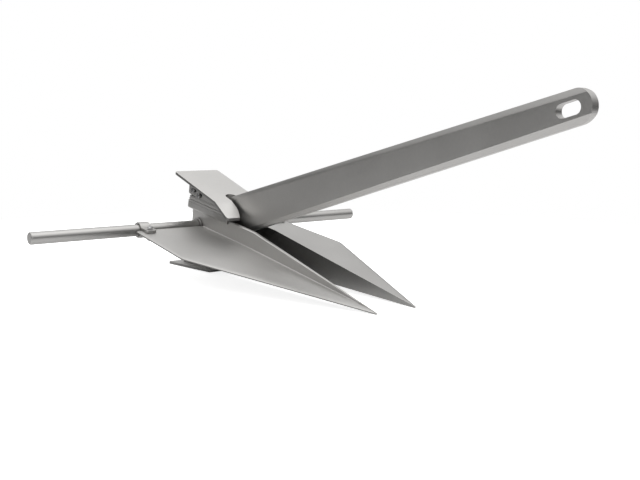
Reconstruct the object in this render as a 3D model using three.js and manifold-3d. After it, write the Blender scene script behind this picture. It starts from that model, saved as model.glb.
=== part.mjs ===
// A plate anchor of welded and bolted aluminium: two flukes with upright webs, a crown between a top and
// a bottom palm, a round stock across it, and a shank that swings about the stock.
//
// Millimetres. The pieces are drawn about the stock's centre, with X along the stock, Y towards the fluke
// tips and Z square to the fluke plates. The finished group is then tipped nose down, so that the bottom
// palm's rear edge and the two fluke tips stand on the floor, with +Z up.
import * as THREE from "three";
import { mergeVertices } from "three/addons/utils/BufferGeometryUtils.js";
import Module from "manifold-3d";

const wasm = await Module();
wasm.setup();

// ---------------------------------------------------------------- driving dimensions
const GAP = 0.3; // left between pieces that touch
const PAST = 5; // how far a cutting tool reaches past what it cuts
const WELD = 1e-4; // vertices closer than this are one

const STOCK = { length: 660, radius: 10, chamfer: 1.2 };

const PLATE = {
  thickness: 5,
  rearY: 11.5,
  rearX: 152,
  shoulder: { x: 160, y: 170, run: 8, inset: 3 }, // its corner, and how far the rounding reaches
  tip: { x: 38.6, y: 479 },
  tipRadius: 3,
  front: { width: 7.5, drop: 1.7 }, // the sharpened edge from the shoulder to the tip
  side: { width: 5, drop: 1.5 }, // the eased edge from the rear to the shoulder
};
const WEB = {
  inner: 19.5,
  outer: 24.8,
  rearY: -21.5,
  bendY: 163,
  height: 30.8,
  tip: { inner: 36.2, outer: 38.4, y: 479, height: 1.2 },
  root: { startY: 12, radius: 1.5, endY: 440, endRadius: 1 }, // the fillet where the web meets the plate
  chamfer: 1.3, // along its outer top and bottom edges
  endChamfer: 0.4,
};

const PALM = {
  width: 89,
  cornerRadius: 5,
  thickness: 4.6,
  rear: { y: -59.4, z: 85.2 },
  bend: { y: 75.2, z: 61.9 },
  front: { y: 115, z: 42.7 },
  slot: { endY: 48.6, halfWidth: 11, mouthY: 96, mouthHalfWidth: 18.6, ease: 4, lip: 1 },
};
const RAIL = {
  frontY: 90.5,
  inner: 20,
  footZ: 25.6,
  chamfer: { inset: 0.9, rise: 1.6 }, // along the ribs' edges
  lower: { x: 28, rearY: -33.7, top: 40.2 }, // the heavy rib that grips the web's top
  upper: { x: 27.6, rearY: -31.7, top: 44.8 }, // the lighter rib above it
  neck: 26.6, // the flat above the ribs
  face: { x: 23.9, rearY: -34.5 }, // the wall that the flange is bolted to
  groove: { width: 1.6, depth: 1.6 }, // between the ribs
  step: 1, // up from the flat to where the wall's own rear end starts
  line: { z: 36.4, width: 1, depth: 0.8 }, // scored along the lower rib
};
const FLANGE = { thickness: 2.8, rearY: -35.8, frontY: 62, rearZ: 50.2, lowZ: 48.6, corner: 4 };

const SHANK = {
  angle: 24.1, // degrees above the fluke plates
  thickness: 12,
  reach: 782, // from the pivot to the centre of the round end
  halfAtPivot: 35,
  halfAtEnd: 20.8,
  bevelAtPivot: { height: 5.2, left: 10 }, // and what the bevels leave of the thickness
  bevelAtEnd: { height: 8.4, left: 6 },
  hub: { radius: 38, width: 36, flareRadius: 150, fade: 1.8 },
  heel: { radius: 19.5, shoulderY: 46, blend: 8 }, // the round end, and where the full height starts
  eye: { at: 771, length: 34, width: 17 },
};
const SLEEVE = { wall: 2.2, clearance: 0.3 };
const BUSH = { flangeRadius: 14, flangeOuter: 27.6 };

const CLIP = { x: 134, width: 19, wall: 3.2, foot: 4.6, footY: 32, boltY: 24, cornerRadius: 5 };

const BOLT = {
  radius: 2.5,
  across: 8,
  head: 3.2,
  washer: 1,
  washerRadius: 4.6,
  nut: 3.2,
  stub: 0.6, // how far the shaft stands out of its nut
};
const CROWN_BOLTS = [
  [-17.9, 59.9],
  [1.1, 54.4],
];

const SIDES = { stock: 72, hub: 64, bore: 40, bolt: 12, washer: 16, hex: 6 }; // of turned shapes
const STEPS = { curve: 24, corner: 5, root: 6, flare: 12 }; // of the curved ones

const BUSH_RADIUS = STOCK.radius + SLEEVE.clearance + SLEEVE.wall;
const TIP_LOW = 1.2; // how far the tips' undersides lie below the plates' middle
const TILT = Math.atan2(PALM.rear.z - TIP_LOW, PLATE.tip.y - PALM.rear.y);

// ---------------------------------------------------------------- materials
const metal = (color, roughness) =>
  new THREE.MeshStandardMaterial({ color, roughness, metalness: 0.9 });
const anodised = () => metal(0xa9aaa8, 0.45);
const anodisedBar = () => metal(0xb4b4b2, 0.35);
const stainless = () => metal(0xc8c9cb, 0.2);
const nylon = () =>
  new THREE.MeshStandardMaterial({ color: 0x3a3b3c, roughness: 0.6, metalness: 0 });

// ---------------------------------------------------------------- solids
function solid(geometry) {
  const bare = new THREE.BufferGeometry();
  bare.setAttribute("position", geometry.getAttribute("position").clone());
  if (geometry.index) bare.setIndex(geometry.index.clone());
  const merged = mergeVertices(bare, WELD);
  const vertProperties = new Float32Array(merged.getAttribute("position").array);
  const triVerts = new Uint32Array(merged.index.array);
  return new wasm.Manifold(new wasm.Mesh({ numProp: 3, vertProperties, triVerts }));
}

function surface(manifold) {
  const mesh = manifold.getMesh();
  const geometry = new THREE.BufferGeometry();
  geometry.setAttribute("position", new THREE.BufferAttribute(mesh.vertProperties, 3));
  geometry.setIndex(new THREE.BufferAttribute(mesh.triVerts, 1));
  geometry.computeVertexNormals();
  return geometry;
}

const outline = (points) => new THREE.Shape(points.map(([u, v]) => new THREE.Vector2(u, v)));

// An outline in the plane of two axes, carried along the third one from `start` to `end`.
const BASES = {
  x: [new THREE.Vector3(0, 1, 0), new THREE.Vector3(0, 0, 1), new THREE.Vector3(1, 0, 0)],
  z: [new THREE.Vector3(1, 0, 0), new THREE.Vector3(0, 1, 0), new THREE.Vector3(0, 0, 1)],
};
function prism(shape, along, start, end, curveSegments = STEPS.corner) {
  const geometry = new THREE.ExtrudeGeometry(shape, {
    depth: end - start,
    bevelEnabled: false,
    curveSegments,
  });
  geometry.translate(0, 0, start);
  return geometry.applyMatrix4(new THREE.Matrix4().makeBasis(...BASES[along]));
}

// A section in X and Z, carried along Y.
function rail(points, startY, endY) {
  const geometry = new THREE.ExtrudeGeometry(outline(points), {
    depth: endY - startY,
    bevelEnabled: false,
  });
  geometry.rotateX(Math.PI / 2);
  return geometry.translate(0, endY, 0);
}

// A straight round bar along X or Z, between two places on that axis.
function bar(along, radius, start, end, sides = SIDES.bore) {
  const geometry = new THREE.CylinderGeometry(radius, radius, end - start, sides);
  if (along === "x") geometry.rotateZ(Math.PI / 2).translate((start + end) / 2, 0, 0);
  else geometry.rotateX(Math.PI / 2).translate(0, 0, (start + end) / 2);
  return geometry;
}

// A body turned about X: the profile gives places along X and radii.
function turned(profile, sides = SIDES.stock) {
  const points = profile.map(([x, radius]) => new THREE.Vector2(radius, x));
  return new THREE.LatheGeometry(points, sides).rotateZ(-Math.PI / 2);
}

// A body between two sections with equally many points, both listed anticlockwise seen from the end.
function loft(startPoints, endPoints) {
  const count = startPoints.length;
  const faces = [];
  for (let i = 1; i < count - 1; i += 1) {
    faces.push(0, i + 1, i);
    faces.push(count, count + i, count + i + 1);
  }
  for (let i = 0; i < count; i += 1) {
    const next = (i + 1) % count;
    faces.push(i, next, count + next);
    faces.push(i, count + next, count + i);
  }
  const geometry = new THREE.BufferGeometry();
  const places = [...startPoints, ...endPoints].flat();
  geometry.setAttribute("position", new THREE.Float32BufferAttribute(places, 3));
  return geometry.setIndex(faces);
}

function cut(body, ...tools) {
  return tools.reduce((rest, tool) => rest.subtract(solid(tool)), solid(body));
}

// ---------------------------------------------------------------- stock
function stockGeometry() {
  const half = STOCK.length / 2;
  const end = STOCK.radius - STOCK.chamfer;
  return turned([
    [-half, 0],
    [-half, end],
    [STOCK.chamfer - half, STOCK.radius],
    [half - STOCK.chamfer, STOCK.radius],
    [half, end],
    [half, 0],
  ]);
}

// ---------------------------------------------------------------- flukes (the right one, at +X)
function flukePlate() {
  const { shoulder, tip, tipRadius, rearX, rearY, thickness } = PLATE;
  const { x, y, run, inset } = shoulder;
  const inside = (WEB.inner + WEB.outer) / 2;
  const shape = new THREE.Shape();
  shape.moveTo(inside, rearY);
  shape.lineTo(rearX, rearY);
  shape.lineTo(x + ((rearX - x) * run) / (y - rearY), y - run);
  shape.quadraticCurveTo(x, y, x - inset, y + run);
  shape.lineTo(tip.x + tipRadius / 2, tip.y - tipRadius);
  shape.quadraticCurveTo(tip.x, tip.y + 1, tip.x - tipRadius / 2, tip.y - 1);
  shape.lineTo(inside, WEB.bendY);
  return prism(shape, "z", -thickness / 2, thickness / 2);
}

function flukeWeb() {
  const { inner, outer, rearY, bendY, height, tip } = WEB;
  const plan = outline([
    [inner, rearY],
    [outer, rearY],
    [outer, bendY],
    [tip.outer, tip.y],
    [tip.inner, tip.y],
    [inner, bendY],
  ]);
  const side = outline([
    [rearY, -height],
    [bendY, -height],
    [tip.y, -tip.height],
    [tip.y, tip.height],
    [bendY, height],
    [rearY, height],
  ]);
  return solid(prism(plan, "z", -height, height)).intersect(solid(prism(side, "x", 0, tip.outer)));
}

// The hollow fillet's section at one place along the web, on the upper or the lower side of the plate.
function rootSection(x, y, radius, level) {
  const top = PLATE.thickness / 2;
  const points = [[x - 1, y, level * (top - 1)]];
  for (let i = 0; i <= STEPS.root; i += 1) {
    const turn = (i / STEPS.root) * (Math.PI / 2);
    const out = radius * (1 - Math.sin(turn));
    const up = radius * (1 - Math.cos(turn));
    points.push([x + out, y, level * (top + up)]);
  }
  return level > 0 ? points.reverse() : points;
}

// Where the web's outer face and its top edge are at one place along it.
function webOuter(y) {
  const { outer, bendY: bend, height, tip } = WEB;
  const share = Math.max(0, (y - bend) / (tip.y - bend));
  return { x: outer + (tip.outer - outer) * share, z: height + (tip.height - height) * share };
}

function rootFillets() {
  const { outer, bendY: bend, root } = WEB;
  const endX = webOuter(root.endY).x;
  return [1, -1].flatMap((level) => {
    const stations = [
      rootSection(outer, root.startY, root.radius, level),
      rootSection(outer, bend, root.radius, level),
      rootSection(endX, root.endY, root.endRadius, level),
    ];
    return [loft(stations[0], stations[1]), loft(stations[1], stations[2])];
  });
}

// The strips that the chamfer takes off the web's outer top and bottom edges.
function webChamfers() {
  const { rearY, bendY: bend, root, chamfer, endChamfer } = WEB;
  const section = (y, size, level) => {
    const { x, z } = webOuter(y);
    const points = [
      [x - size - 1, y, level * (z + 1)],
      [x + 1, y, level * (z + 1)],
      [x + 1, y, level * (z - size - 1)],
    ];
    return level > 0 ? points : points.reverse();
  };
  return [1, -1].flatMap((level) => {
    const stations = [
      section(rearY - 1, chamfer, level),
      section(bend, chamfer, level),
      section(root.endY, endChamfer, level),
    ];
    return [loft(stations[0], stations[1]), loft(stations[1], stations[2])];
  });
}

// The wedge that thins the plate along one stretch of its outline, on its upper (1) or lower (-1) side.
function edgeWedge(from, to, { width, drop }, level) {
  const along = new THREE.Vector3(to.x - from.x, to.y - from.y, 0);
  const depth = along.length() + 2 * PAST;
  along.normalize();
  const out = new THREE.Vector3(along.y, -along.x, 0);
  const up = new THREE.Vector3(0, 0, 1);
  const top = PLATE.thickness / 2;
  const section = outline([
    [-width, level * top],
    [PAST, level * (top - ((width + PAST) * drop) / width)],
    [PAST, level * (top + 1)],
    [-width, level * (top + 1)],
  ]);
  const geometry = new THREE.ExtrudeGeometry(section, { depth, bevelEnabled: false });
  geometry.translate(0, 0, -PAST);
  geometry.applyMatrix4(new THREE.Matrix4().makeBasis(out, up, along.negate()));
  return geometry.translate(to.x, to.y, 0);
}

function flukeGeometry() {
  const { rearX, rearY, shoulder, tip, front, side, thickness } = PLATE;
  const wedges = [1, -1].flatMap((level) => [
    edgeWedge(shoulder, tip, front, level),
    edgeWedge({ x: rearX, y: rearY }, shoulder, side, level),
  ]);
  const clipHole = bar("z", BOLT.radius + GAP, -thickness, thickness, SIDES.bolt);
  const plate = cut(flukePlate(), ...wedges, clipHole.translate(CLIP.x, CLIP.boltY, 0));
  const web = webChamfers().reduce((rest, strip) => rest.subtract(solid(strip)), flukeWeb());
  const whole = rootFillets().reduce((sum, fillet) => sum.add(solid(fillet)), plate.add(web));
  const bushHole = bar("x", BUSH_RADIUS + GAP, WEB.inner - PAST, WEB.outer + PAST);
  const flangeRoom = bar("x", BUSH.flangeRadius + 2 * GAP, WEB.outer, BUSH.flangeOuter + GAP);
  return surface(whole.subtract(solid(flangeRoom)).subtract(solid(bushHole)));
}

// ---------------------------------------------------------------- palms (the top one)
const RISE = (PALM.rear.z - PALM.bend.z) / (PALM.bend.y - PALM.rear.y);
const DROP = (PALM.bend.z - PALM.front.z) / (PALM.front.y - PALM.bend.y);
const lean = (slope) => Math.sqrt(1 + slope * slope);

// Height of the palm's outer face, less a depth measured square to the face.
function palmZ(y, depth = 0) {
  const rearZ = PALM.bend.z + (PALM.bend.y - y) * RISE - depth * lean(RISE);
  const frontZ = PALM.bend.z - (y - PALM.bend.y) * DROP - depth * lean(DROP);
  return Math.min(rearZ, frontZ);
}

// Where the rear and the front stretch meet, at a depth below the outer face.
const bendY = (depth) => PALM.bend.y - (depth * (lean(DROP) - lean(RISE))) / (DROP - RISE);

// The palm's side view, between two depths below its outer face.
function palmBand(fromY, toY, top, bottom) {
  return outline([
    [fromY, palmZ(fromY, bottom)],
    [bendY(bottom), palmZ(bendY(bottom), bottom)],
    [toY, palmZ(toY, bottom)],
    [toY, palmZ(toY, top)],
    [bendY(top), palmZ(bendY(top), top)],
    [fromY, palmZ(fromY, top)],
  ]);
}

function roundedPlan(left, right, rear, front, radius) {
  const shape = new THREE.Shape();
  shape.absarc(right - radius, rear + radius, radius, -Math.PI / 2, 0, false);
  shape.absarc(right - radius, front - radius, radius, 0, Math.PI / 2, false);
  shape.absarc(left + radius, front - radius, radius, Math.PI / 2, Math.PI, false);
  shape.absarc(left + radius, rear + radius, radius, Math.PI, 1.5 * Math.PI, false);
  return shape;
}

function slotPlan() {
  const { endY, halfWidth, mouthY, mouthHalfWidth, ease, lip } = PALM.slot;
  const past = PALM.front.y + PAST;
  const shape = new THREE.Shape();
  shape.moveTo(halfWidth, endY + halfWidth);
  shape.lineTo(halfWidth, mouthY - ease);
  shape.quadraticCurveTo(halfWidth + lip, mouthY + ease, mouthHalfWidth, PALM.front.y - lip);
  shape.lineTo(mouthHalfWidth, past);
  shape.lineTo(-mouthHalfWidth, past);
  shape.lineTo(-mouthHalfWidth, PALM.front.y - lip);
  shape.quadraticCurveTo(-halfWidth - lip, mouthY + ease, -halfWidth, mouthY - ease);
  shape.lineTo(-halfWidth, endY + halfWidth);
  shape.absarc(0, endY + halfWidth, halfWidth, -Math.PI, 0, false);
  return shape;
}

function palmGeometry() {
  const band = palmBand(PALM.rear.y, PALM.front.y, 0, PALM.thickness);
  const half = PALM.width / 2;
  const plan = roundedPlan(-half, half, PALM.rear.y, PALM.front.y, PALM.cornerRadius);
  const high = PALM.rear.z + PAST;
  const whole = cut(prism(band, "x", -half, half), prism(slotPlan(), "z", 0, high, 2 * STEPS.corner));
  return surface(whole.intersect(solid(prism(plan, "z", 0, high))));
}

// ---------------------------------------------------------------- crown rails and palm flanges (top right)
function boltHoles(fromX, toX) {
  return CROWN_BOLTS.map(([y, z]) => {
    const hole = bar("x", BOLT.radius + GAP, fromX - PAST, toX + PAST, SIDES.bolt);
    return hole.translate(0, y, z);
  });
}

function railGeometry() {
  const { frontY, inner, footZ, chamfer, lower, upper, neck, face, groove, step, line } = RAIL;
  const seat = WEB.height + GAP;
  const shelf = FLANGE.lowZ - GAP; // the top of the neck, just under the flange
  const grooveX = lower.x - groove.depth;
  const grooveTop = lower.top + groove.width;
  const section = [
    [inner, seat],
    [WEB.outer + GAP, seat],
    [WEB.outer + GAP, footZ],
    [lower.x - chamfer.inset, footZ],
    [lower.x, footZ + chamfer.rise],
    [lower.x, line.z - line.width / 2],
    [lower.x - line.depth, line.z],
    [lower.x, line.z + line.width / 2],
    [lower.x, lower.top - chamfer.rise],
    [lower.x - chamfer.inset, lower.top],
    [grooveX, lower.top],
    [grooveX, grooveTop],
    [upper.x, grooveTop],
    [upper.x, upper.top - chamfer.rise],
    [neck, upper.top],
    [neck, shelf],
    [face.x, shelf],
    [face.x, PALM.rear.z],
    [inner, PALM.rear.z],
  ];
  const under = PALM.thickness + GAP;
  const side = outline([
    [lower.rearY, 0],
    [frontY, 0],
    [frontY, palmZ(frontY, under)],
    [bendY(under), palmZ(bendY(under), under)],
    [face.rearY, palmZ(face.rearY, under)],
    [face.rearY, shelf + step],
    [upper.rearY, shelf],
    [upper.rearY, grooveTop],
    [lower.rearY, lower.top],
  ]);
  const profile = solid(rail(section, face.rearY, frontY));
  const trimmed = profile.intersect(solid(prism(side, "x", 0, lower.x)));
  return surface(boltHoles(inner, face.x).reduce((rest, hole) => rest.subtract(solid(hole)), trimmed));
}

function flangeGeometry() {
  const { thickness, rearY, frontY, rearZ, lowZ, corner } = FLANGE;
  const under = PALM.thickness + GAP;
  const shape = new THREE.Shape();
  shape.moveTo(rearY, palmZ(rearY, under));
  shape.lineTo(rearY, rearZ + corner);
  shape.quadraticCurveTo(rearY, rearZ, rearY + corner, rearZ);
  shape.lineTo(0, lowZ);
  shape.lineTo(frontY, lowZ);
  shape.lineTo(frontY, palmZ(frontY, under));
  const start = RAIL.face.x + GAP;
  return surface(cut(prism(shape, "x", start, start + thickness), ...boltHoles(start, start + thickness)));
}

// ---------------------------------------------------------------- shank, drawn along Y from the pivot
const halfHeight = (y) =>
  SHANK.halfAtPivot + ((SHANK.halfAtEnd - SHANK.halfAtPivot) * y) / SHANK.reach;

function shankOutline() {
  const { reach, halfAtEnd } = SHANK;
  const { radius, shoulderY, blend } = SHANK.heel;
  const shape = new THREE.Shape();
  const half = halfHeight(shoulderY);
  const tangent = Math.atan2(half, shoulderY) + Math.acos(radius / Math.hypot(shoulderY, half));
  const below = half + blend / Math.tan(tangent); // on the sloping edge, just before the shoulder
  const past = shoulderY + blend;
  shape.absarc(0, 0, radius, tangent, 2 * Math.PI - tangent, false);
  shape.lineTo(shoulderY - blend, -below);
  shape.quadraticCurveTo(shoulderY, -half, past, -halfHeight(past));
  shape.lineTo(reach, -halfAtEnd);
  shape.absarc(reach, 0, halfAtEnd, -Math.PI / 2, Math.PI / 2, false);
  shape.lineTo(past, halfHeight(past));
  shape.quadraticCurveTo(shoulderY, half, shoulderY - blend, below);
  return shape;
}

// The blade's section: flat sides with bevels along the top and bottom.
function bladeSection(y, bevel) {
  const side = SHANK.thickness / 2;
  const edge = bevel.left / 2;
  const half = halfHeight(y);
  const flat = half - bevel.height;
  return [
    [edge, y, -half],
    [side, y, -flat],
    [side, y, flat],
    [edge, y, half],
    [-edge, y, half],
    [-side, y, flat],
    [-side, y, -flat],
    [-edge, y, -half],
  ].reverse();
}

// The hub and the hollow curve by which it runs out into the blade.
function hubProfile() {
  const { radius, width, flareRadius, fade } = SHANK.hub;
  const profile = [];
  for (let i = 0; i < STEPS.flare; i += 1) {
    const t = i / STEPS.flare;
    profile.push([(width / 2) * (1 - t) ** fade, radius + (flareRadius - radius) * t]);
  }
  const mirrored = profile.map(([x, r]) => [-x, r]);
  return [[-width / 2, 0], ...mirrored, ...profile.reverse(), [width / 2, 0]];
}

function eyeSlot() {
  const { at, length, width } = SHANK.eye;
  const radius = width / 2;
  const run = length / 2 - radius;
  const shape = new THREE.Shape();
  shape.absarc(at + run, 0, radius, -Math.PI / 2, Math.PI / 2, false);
  shape.absarc(at - run, 0, radius, Math.PI / 2, (3 * Math.PI) / 2, false);
  return prism(shape, "x", -SHANK.thickness, SHANK.thickness, STEPS.curve);
}

function shankGeometry() {
  const { reach, halfAtEnd, bevelAtPivot, bevelAtEnd, hub } = SHANK;
  const half = hub.width / 2;
  const end = reach + 2 * halfAtEnd; // past the round end, which the outline then cuts
  const blade = loft(bladeSection(0, bevelAtPivot), bladeSection(end, bevelAtEnd));
  const body = solid(blade).add(solid(turned(hubProfile(), SIDES.hub)));
  const whole = body.intersect(solid(prism(shankOutline(), "x", -half, half, STEPS.curve)));
  const bore = bar("x", BUSH_RADIUS + GAP, -half - PAST, half + PAST);
  return surface(whole.subtract(solid(bore)).subtract(solid(eyeSlot())));
}

// ---------------------------------------------------------------- sleeves, bushes and clips
// A body turned about the stock, with the stock's bore through it.
function ring(profile) {
  const inner = STOCK.radius + SLEEVE.clearance;
  const [start] = profile[0];
  const [end] = profile[profile.length - 1];
  return turned([[start, inner], ...profile, [end, inner], [start, inner]], SIDES.bore);
}

function sleeveGeometry() {
  const half = SHANK.hub.width / 2;
  return ring([
    [-half, BUSH_RADIUS],
    [half, BUSH_RADIUS],
  ]);
}

function bushGeometry() {
  const step = WEB.outer + GAP;
  return ring([
    [WEB.inner, BUSH_RADIUS],
    [step, BUSH_RADIUS],
    [step, BUSH.flangeRadius],
    [BUSH.flangeOuter, BUSH.flangeRadius],
  ]);
}

// A saddle round the stock with a foot on each side of the fluke's plate.
function clipGeometry() {
  const seat = PLATE.thickness / 2 + GAP;
  const inner = STOCK.radius + GAP;
  const outer = inner + CLIP.wall;
  const high = seat + CLIP.foot;
  const innerAngle = Math.asin(seat / inner);
  const outerAngle = Math.asin(high / outer);
  const shape = new THREE.Shape();
  shape.moveTo(CLIP.footY, high);
  shape.lineTo(outer, high);
  shape.absarc(0, 0, outer, outerAngle, 2 * Math.PI - outerAngle, false);
  shape.lineTo(outer, -high);
  shape.lineTo(CLIP.footY, -high);
  shape.lineTo(CLIP.footY, -seat);
  shape.absarc(0, 0, inner, 2 * Math.PI - innerAngle, innerAngle, true);
  shape.lineTo(CLIP.footY, seat);
  const left = CLIP.x - CLIP.width / 2;
  const right = CLIP.x + CLIP.width / 2;
  const rear = -outer - 2 * CLIP.cornerRadius; // so that only the feet's corners are rounded
  const plan = roundedPlan(left, right, rear, CLIP.footY, CLIP.cornerRadius);
  const hole = bar("z", BOLT.radius + GAP, -outer, outer, SIDES.bolt);
  const body = cut(prism(shape, "x", left, right, STEPS.curve), hole.translate(CLIP.x, CLIP.boltY, 0));
  return surface(body.intersect(solid(prism(plan, "z", -outer - PAST, outer + PAST))));
}

// ---------------------------------------------------------------- fasteners, drawn along Z
// A hexagon bolt with its head's underside at z = 0 and its shaft below.
function hexBolt(shaft) {
  const corner = BOLT.across / Math.sqrt(3);
  const head = new THREE.CylinderGeometry(corner, corner, BOLT.head, SIDES.hex).rotateX(Math.PI / 2);
  head.translate(0, 0, BOLT.head / 2);
  const stem = bar("z", BOLT.radius, -shaft, BOLT.head / 2, SIDES.bolt);
  return surface(solid(head).add(solid(stem)));
}

function hexNut() {
  const corner = BOLT.across / Math.sqrt(3);
  const body = new THREE.CylinderGeometry(corner, corner, BOLT.nut, SIDES.hex).rotateX(Math.PI / 2);
  return surface(cut(body, bar("z", BOLT.radius + GAP, -BOLT.nut, BOLT.nut, SIDES.bolt)));
}

function washer() {
  const body = bar("z", BOLT.washerRadius, 0, BOLT.washer, SIDES.washer);
  return surface(cut(body, bar("z", BOLT.radius + GAP, -PAST, PAST, SIDES.bolt)));
}

const flangeFace = RAIL.face.x + GAP + FLANGE.thickness;
const crownSeat = flangeFace + GAP + BOLT.washer + GAP;
const crownGrip = crownSeat - RAIL.inner + GAP + BOLT.nut + BOLT.stub;
const clipFace = PLATE.thickness / 2 + GAP + CLIP.foot;
const clipSeat = clipFace + GAP + BOLT.washer + GAP;

// ---------------------------------------------------------------- assembly
const anchor = new THREE.Group();

function add(parent, name, geometry, material, scale = [1, 1, 1]) {
  const mesh = new THREE.Mesh(geometry, material);
  mesh.name = name;
  mesh.scale.set(...scale);
  parent.add(mesh);
}

add(anchor, "stock", stockGeometry(), anodisedBar());
for (const [side, sx] of [["right", 1], ["left", -1]]) {
  add(anchor, `fluke_${side}`, flukeGeometry(), anodised(), [sx, 1, 1]);
  add(anchor, `stock_bush_${side}`, bushGeometry(), anodisedBar(), [sx, 1, 1]);
  add(anchor, `stock_clip_${side}`, clipGeometry(), anodisedBar(), [sx, 1, 1]);
}
for (const [level, sz] of [["top", 1], ["bottom", -1]]) {
  add(anchor, `palm_${level}`, palmGeometry(), anodised(), [1, 1, sz]);
  for (const [side, sx] of [["right", 1], ["left", -1]]) {
    add(anchor, `crown_rail_${side}_${level}`, railGeometry(), anodised(), [sx, 1, sz]);
    add(anchor, `palm_flange_${side}_${level}`, flangeGeometry(), anodised(), [sx, 1, sz]);
  }
}

// Each bolt with its washers and nut: through a flange and its rail, or through a clip and its plate.
for (const [level, sz] of [["top", 1], ["bottom", -1]]) {
  for (const [side, sx] of [["right", 1], ["left", -1]]) {
    CROWN_BOLTS.forEach(([y, z], i) => {
      const place = `${side}_${level}_${i + 1}`;
      const put = (kind, geometry, material, x) => {
        geometry.rotateY(Math.PI / 2).translate(x, y, z);
        add(anchor, `crown_${kind}_${place}`, geometry, material, [sx, 1, sz]);
      };
      put("bolt", hexBolt(crownGrip), stainless(), crownSeat);
      put("washer", washer(), nylon(), flangeFace + GAP);
      put("nut", hexNut(), stainless(), RAIL.inner - GAP - BOLT.nut / 2);
    });
  }
}
for (const [side, sx] of [["right", 1], ["left", -1]]) {
  const put = (kind, geometry, z) => {
    geometry.translate(CLIP.x, CLIP.boltY, z);
    add(anchor, `clip_${kind}_${side}`, geometry, stainless(), [sx, 1, 1]);
  };
  put("bolt", hexBolt(2 * clipSeat + BOLT.nut + BOLT.stub), clipSeat);
  put("washer_upper", washer(), clipFace + GAP);
  put("washer_lower", washer(), -clipFace - GAP - BOLT.washer);
  put("nut", hexNut(), -clipSeat - BOLT.nut / 2);
}

const swing = new THREE.Group();
swing.rotation.x = THREE.MathUtils.degToRad(SHANK.angle);
add(swing, "shank", shankGeometry(), anodised());
add(swing, "pivot_sleeve", sleeveGeometry(), nylon());
anchor.add(swing);

// Stood on the floor, with the origin under the middle of the whole.
anchor.rotation.x = -TILT;
anchor.updateMatrixWorld(true);
const box = new THREE.Box3().setFromObject(anchor, true);
const middle = box.getCenter(new THREE.Vector3());
anchor.position.set(-middle.x, -middle.y, -box.min.z);

export default anchor;
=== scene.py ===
"""A light alloy plate anchor on a pale floor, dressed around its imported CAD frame. Metres, +Z up."""
import math

import bpy
from mathutils import Matrix, Vector

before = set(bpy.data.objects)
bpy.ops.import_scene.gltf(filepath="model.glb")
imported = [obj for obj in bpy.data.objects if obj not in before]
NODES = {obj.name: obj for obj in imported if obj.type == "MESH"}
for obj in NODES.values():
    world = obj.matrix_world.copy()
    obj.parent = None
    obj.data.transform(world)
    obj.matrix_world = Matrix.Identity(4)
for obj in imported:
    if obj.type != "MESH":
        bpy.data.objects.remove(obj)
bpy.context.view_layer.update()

MM = 0.001

# ---------------------------------------------------------------- the flukes' plates and webs
PLATE_TIP = math.radians(8.867)  # how far the plates are tipped nose down
PLATE_NORMAL = Vector((0, math.sin(PLATE_TIP), math.cos(PLATE_TIP)))
WEB_TO_PLATE = (38.5 * MM, 41.0 * MM)  # out from the middle, where the web ends and only plate is left; the painted edge shade starts there

# ---------------------------------------------------------------- camera
CAMERA_PLACE = Vector((0.8705, 1.0071, 0.2658))
CAMERA_HEADING = math.radians(140.43)  # turned from +Y towards -X
CAMERA_DROP = math.radians(7.69)  # looking down
CAMERA_ROLL = math.radians(0.635)
CAMERA_LENS = 51.2  # mm
CAMERA_SENSOR = 36  # mm

# ---------------------------------------------------------------- floor and light
FLOOR_RADIUS = 1.25
FLOOR_SIDES = 96
FLOOR_COLOUR = (0.9, 0.9, 0.9, 1)
FLOOR_ROUGHNESS = 0.9
FLOOR_GLOW = 0.95  # how far the floor's own light fills the shadow that the camera sees
BACKDROP = (1.0, 1.0, 1.0, 1)  # what the camera sees beyond the floor
SKY_BANDS = (  # degrees above the horizon, and the studio's brightness there
    (-90, 0.07),
    (0, 0.07),
    (10, 0.13),
    (20, 0.34),
    (35, 1.0),
    (50, 1.4),
    (65, 1.2),
    (90, 0.7),
)
LAMP_HEIGHT = 2.6
LAMP_SIZE = 2.6  # across
LAMP_POWER = 16  # W

# ---------------------------------------------------------------- finishes
ALLOY_TINT = (1.0, 0.985, 0.96)  # a slightly warm grey
STEEL_TINT = (1.0, 1.0, 1.01)
CLOUD = {"scale": 9, "detail": 4, "roughness": 0.55}  # slow drift of the tone over a hand's width
TOOTH = {"scale": 2600, "detail": 2, "roughness": 0.6}  # the blasted surface's fine grain
STREAK = {"scale": 1, "detail": 3, "roughness": 0.6}  # drawing marks, stretched by each metal's grain
CLOUD_TONE = 0.04  # share of the tone that the clouds move it by
STREAK_TONE = 0.025
ROUGHNESS_DRIFT = 0.02
EVEN_GRAIN = (260, 260, 260)  # noise cells per metre along x, y and z
DRAWN_ALONG_X = (8, 900, 900)
DRAWN_ALONG_Y = (900, 12, 900)
TURNED = (900, 900, 4000)

WIDE_CORNER_SHADE = {"reach": 200 * MM, "dark": 0.4}  # painted shade between plates, webs and palms
SHANK_CORNER_SHADE = {"reach": 50 * MM, "dark": 0.6}  # painted shade where the shank enters the palm's slot
GROOVE_SHADE = {"reach": 6 * MM, "dark": 0.3, "shut": 0.25, "clear": 0.95}  # painted shade in the rails' narrow grooves

# painted shade on the plates' cut edges and on the webs' inner faces
EDGE_LEAN = (0.4, 0.7)  # cosine from a face's normal to a direction, from lying across it to along it
PALM_EDGE_SHADE = 0.5  # painted shade on a cut edge: its tone as a share of the face's
FLUKE_EDGE_SHADE = 0.45
WEB_INNER_SHADE = 0.7

# ---------------------------------------------------------------- edges
WELD_GAP = 0.005 * MM
FLAT_ANGLE = math.radians(0.6)  # triangles that meet more flatly than this are one face
SHARP_ANGLE = math.radians(18)  # edges sharper than this are rounded


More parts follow.
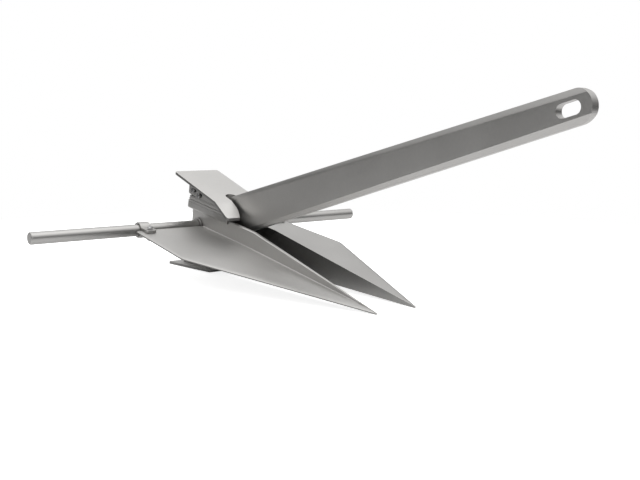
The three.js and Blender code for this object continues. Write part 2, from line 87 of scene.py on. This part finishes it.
# ---------------------------------------------------------------- node helpers
class Shader:
    """A material's node tree, with short calls that add a node and wire its inputs."""

    def __init__(self, name):
        self.material = bpy.data.materials.new(name)
        self.material.use_nodes = True
        self.tree = self.material.node_tree
        self.principled = self.tree.nodes["Principled BSDF"]
        self.space = self.add("ShaderNodeTexCoord")
        self.place = self.space.outputs["Object"]

    def add(self, kind, **values):
        """A new node: a value goes to its property of that name, or else to its input."""
        node = self.tree.nodes.new(kind)
        for key, value in values.items():
            if hasattr(node, key):
                setattr(node, key, value)
            else:
                self.wire(node.inputs[key.replace("_", " ")], value)
        return node

    def wire(self, socket, value):
        if isinstance(value, bpy.types.NodeSocket):
            self.tree.links.new(value, socket)
        else:
            socket.default_value = value

    def noise(self, scale, detail=3.0, roughness=0.5, place=None):
        node = self.add("ShaderNodeTexNoise", Scale=scale, Detail=detail, Roughness=roughness)
        self.wire(node.inputs["Vector"], place or self.place)
        return node.outputs["Fac"]

    def stretched(self, scale):
        node = self.add("ShaderNodeMapping", Scale=scale)
        self.wire(node.inputs["Vector"], self.place)
        return node.outputs["Vector"]

    def spread(self, value, low, high, from_low=0.3, from_high=0.7):
        """`value` mapped to low..high and held there; a noise lies mostly within 0.3..0.7."""
        node = self.add("ShaderNodeMapRange")
        for socket, part in zip(node.inputs, (value, from_low, from_high, low, high)):
            self.wire(socket, part)
        return node.outputs["Result"]

    def drift(self, noise, middle, share):
        """`middle`, moved up and down by a share of itself."""
        return self.spread(noise, middle * (1 - share), middle * (1 + share))

    def math(self, operation, first, second=0.0):
        node = self.add("ShaderNodeMath", operation=operation)
        self.wire(node.inputs[0], first)
        self.wire(node.inputs[1], second)
        return node.outputs[0]

    def grey(self, value, tint=ALLOY_TINT):
        node = self.add("ShaderNodeCombineColor")
        for socket, part in zip(node.inputs, tint):
            self.wire(socket, self.math("MULTIPLY", value, part))
        return node.outputs["Color"]

    def bump(self, height, distance, strength):
        node = self.add("ShaderNodeBump", Strength=strength, Distance=distance)
        self.wire(node.inputs["Height"], height)
        return node.outputs["Normal"]

    def corners(self, reach, dark, shut=0.03, clear=0.3):
        """Painted shade: 1 on open surfaces, down to `dark` where other metal closes in, read from an
        ambient occlusion node.
        """
        node = self.add("ShaderNodeAmbientOcclusion", samples=8, Distance=reach)
        return self.spread(node.outputs["AO"], dark, 1.0, shut, clear)

    def along(self, output, direction):
        """How far a place lies, or how much a face leans, along a direction in the part's own frame."""
        node = self.add("ShaderNodeVectorMath", operation="DOT_PRODUCT")
        self.wire(node.inputs[0], self.space.outputs[output])
        self.wire(node.inputs[1], direction)
        return node.outputs["Value"]

    def painted_edge_shade(self, face_normal, dark):
        """Painted shade: `dark` on a plate's cut edges and 1 on its faces."""
        lean = self.math("ABSOLUTE", self.along("Normal", face_normal))
        return self.spread(lean, dark, 1.0, *EDGE_LEAN)

    def finish(self, **inputs):
        for key, value in inputs.items():
            self.wire(self.principled.inputs[key.replace("_", " ")], value)
        return self.material


# ---------------------------------------------------------------- materials
def anodised(name, tone, rough, grain=EVEN_GRAIN, shade=WIDE_CORNER_SHADE, edges=None):
    """Fine matte anodised aluminium: blasted tooth, faint drawn grain, cloudy tone, darkened by painted
    shade where other metal closes in and, when `edges` is given, on its cut edges.
    """
    shader = Shader(name)
    cloud = shader.noise(**CLOUD)
    tooth = shader.noise(**TOOTH)
    streak = shader.noise(**STREAK, place=shader.stretched(grain))
    tint = shader.math("MULTIPLY", shader.drift(cloud, tone, CLOUD_TONE),
                       shader.drift(streak, 1, STREAK_TONE))
    # painted shade where other metal closes in
    tint = shader.math("MULTIPLY", tint, shader.corners(**shade))
    if edges is not None:
        tint = shader.math("MULTIPLY", tint, edges(shader))
    roughness = shader.math("ADD", shader.spread(cloud, rough - ROUGHNESS_DRIFT, rough + ROUGHNESS_DRIFT),
                            shader.spread(streak, -ROUGHNESS_DRIFT, ROUGHNESS_DRIFT))
    return shader.finish(
        Base_Color=shader.grey(tint),
        Metallic=1.0,
        Roughness=roughness,
        Normal=shader.bump(tooth, distance=0.08 * MM, strength=0.7),
    )


def stainless():
    """Bright fasteners with fine turning marks."""
    shader = Shader("stainless")
    cloud = shader.noise(scale=120)
    turned = shader.noise(scale=1, detail=2, place=shader.stretched(TURNED))
    return shader.finish(
        Base_Color=shader.grey(shader.spread(cloud, 0.66, 0.76), STEEL_TINT),
        Metallic=1.0,
        Roughness=shader.spread(turned, 0.14, 0.22),
        Normal=shader.bump(turned, distance=0.004 * MM, strength=0.3),
    )


def nylon(name, tone):
    """Dull moulded plastic."""
    shader = Shader(name)
    grain = shader.noise(scale=900)
    return shader.finish(
        Base_Color=shader.grey(shader.drift(grain, tone, 0.15)),
        Roughness=shader.spread(grain, 0.45, 0.6),
        Normal=shader.bump(grain, distance=0.05 * MM, strength=0.4),
    )


# painted shade on the palm's cut edges
def palm_edge_shade(shader):
    return shader.painted_edge_shade((0, 0, 1), PALM_EDGE_SHADE)


def fluke_edge_shade(shader):
    """Painted shade: darker cut edges round the plate, away from the web, and darker inner faces between
    the webs.
    """
    side = shader.along("Object", (1, 0, 0))
    by_web = shader.spread(shader.math("ABSOLUTE", side), 1, 0, *WEB_TO_PLATE)
    cut = shader.math("MAXIMUM", shader.painted_edge_shade(PLATE_NORMAL, FLUKE_EDGE_SHADE), by_web)
    # painted shade on the webs' inner faces, where they face each other
    facing_in = shader.math("MULTIPLY", shader.math("SIGN", side), shader.along("Normal", (-1, 0, 0)))
    return shader.math("MULTIPLY", cut, shader.spread(facing_in, 1, WEB_INNER_SHADE, *EDGE_LEAN))


# ---------------------------------------------------------------- the anchor
def dress(node, material, bevel, segments):
    """Joins the node's flat triangles into whole faces, rounds its edges and gives it its material."""
    thing = NODES[node]
    thing.data.materials.clear()
    thing.data.materials.append(material)
    thing.data.polygons.foreach_set("use_smooth", [True] * len(thing.data.polygons))
    weld = thing.modifiers.new("weld", "WELD")
    weld.merge_threshold = WELD_GAP
    faces = thing.modifiers.new("whole_faces", "DECIMATE")
    faces.decimate_type = "DISSOLVE"
    faces.angle_limit = FLAT_ANGLE
    rounded = thing.modifiers.new("rounded_edges", "BEVEL")
    rounded.width = bevel * MM
    rounded.segments = segments
    rounded.limit_method = "ANGLE"
    rounded.angle_limit = SHARP_ANGLE
    rounded.use_clamp_overlap = True
    rounded.harden_normals = True
    thing.modifiers.new("face_normals", "WEIGHTED_NORMAL").keep_sharp = False


def dress_anchor():
    plate = anodised("anodised_plate", tone=0.52, rough=0.44, edges=fluke_edge_shade)
    extrusion = anodised("anodised_extrusion", tone=0.43, rough=0.42, grain=DRAWN_ALONG_Y, shade=GROOVE_SHADE)
    shank = anodised("anodised_shank", tone=0.51, rough=0.42, shade=SHANK_CORNER_SHADE)
    rod = anodised("anodised_rod", tone=0.43, rough=0.36, grain=DRAWN_ALONG_X)
    clip = anodised("anodised_clip", tone=0.44, rough=0.38)
    palm = anodised("anodised_palm_painted_shade", tone=0.55, rough=0.44, edges=palm_edge_shade)
    steel = stainless()
    bush = anodised("anodised_bush", tone=0.34, rough=0.40)
    plastic = nylon("nylon_black", tone=0.036)
    looks = (  # the start of a node's name, its material, its bevels' width in mm and their segments
        ("shank", shank, 0.5, 2),
        ("stock_bush", bush, 0.6, 2),
        ("stock_clip", clip, 0.6, 3),
        ("stock", rod, 0.4, 2),
        ("fluke", plate, 0.6, 2),
        ("palm_flange", extrusion, 0.3, 2),
        ("crown_rail", extrusion, 0.3, 2),
        ("palm", palm, 0.7, 2),
        ("crown_washer", plastic, 0.2, 2),
        ("pivot_sleeve", plastic, 0.2, 2),
        ("", steel, 0.3, 2),  # every other node is a fastener
    )
    for node in NODES:
        dress(node, *next(look for start, *look in looks if node.startswith(start)))


# ---------------------------------------------------------------- stage
def make_floor():
    turns = [math.tau * i / FLOOR_SIDES for i in range(FLOOR_SIDES)]
    rim = [(FLOOR_RADIUS * math.cos(t), FLOOR_RADIUS * math.sin(t), 0) for t in turns]
    floor = bpy.data.objects.new("floor", bpy.data.meshes.new("floor"))
    floor.data.from_pydata(rim, [], [range(FLOOR_SIDES)])
    bpy.context.scene.collection.objects.link(floor)
    paper = Shader("floor_paper")
    seen = paper.add("ShaderNodeLightPath").outputs["Is Camera Ray"]
    floor.data.materials.append(paper.finish(
        Base_Color=FLOOR_COLOUR,
        Roughness=FLOOR_ROUGHNESS,
        Emission_Color=FLOOR_COLOUR,
        Emission_Strength=paper.math("MULTIPLY", seen, FLOOR_GLOW),
    ))


def make_sky():
    """Light that changes with height, and a plain backdrop for rays straight from the camera."""
    world = bpy.data.worlds.new("studio")
    bpy.context.scene.world = world
    world.use_nodes = True
    tree = world.node_tree
    place = tree.nodes.new("ShaderNodeTexCoord")
    split = tree.nodes.new("ShaderNodeSeparateXYZ")
    rise = tree.nodes.new("ShaderNodeMapRange")
    ramp = tree.nodes.new("ShaderNodeValToRGB")
    tree.links.new(place.outputs["Generated"], split.inputs[0])
    tree.links.new(split.outputs["Z"], rise.inputs["Value"])
    rise.inputs["From Min"].default_value = -1
    tree.links.new(rise.outputs[0], ramp.inputs[0])
    stops = ramp.color_ramp.elements
    while len(stops) < len(SKY_BANDS):
        stops.new(0.5)
    for stop, (height, light) in zip(stops, SKY_BANDS):
        stop.position = (1 + math.sin(math.radians(height))) / 2
        stop.color = (light, light, light, 1)
    mix = tree.nodes.new("ShaderNodeMix")
    mix.data_type = "RGBA"
    first, second, result = mix.inputs[6], mix.inputs[7], mix.outputs[2]  # its colour sockets
    seen = tree.nodes.new("ShaderNodeLightPath").outputs["Is Camera Ray"]
    tree.links.new(seen, mix.inputs[0])
    tree.links.new(ramp.outputs[0], first)
    second.default_value = BACKDROP
    tree.links.new(result, tree.nodes["Background"].inputs["Color"])


def make_lamp():
    """One wide soft lamp overhead. A new lamp faces straight down."""
    data = bpy.data.lights.new("overhead", "AREA")
    data.shape = "DISK"
    data.size = LAMP_SIZE
    data.energy = LAMP_POWER
    lamp = bpy.data.objects.new("overhead", data)
    lamp.location = (0, 0, LAMP_HEIGHT)
    bpy.context.scene.collection.objects.link(lamp)


def make_camera():
    data = bpy.data.cameras.new("camera")
    data.lens = CAMERA_LENS
    data.sensor_width = CAMERA_SENSOR
    camera = bpy.data.objects.new("camera", data)
    ahead = Vector((-math.sin(CAMERA_HEADING), math.cos(CAMERA_HEADING), 0)) * math.cos(CAMERA_DROP)
    ahead.z = -math.sin(CAMERA_DROP)
    level = ahead.to_track_quat("-Z", "Y").to_matrix().to_4x4()
    camera.matrix_world = (
        Matrix.Translation(CAMERA_PLACE) @ level @ Matrix.Rotation(CAMERA_ROLL, 4, "Z")
    )
    bpy.context.scene.collection.objects.link(camera)
    bpy.context.scene.camera = camera


make_floor()
make_sky()
make_camera()
make_lamp()
dress_anchor()

bpy.context.scene.view_settings.view_transform = "Standard"
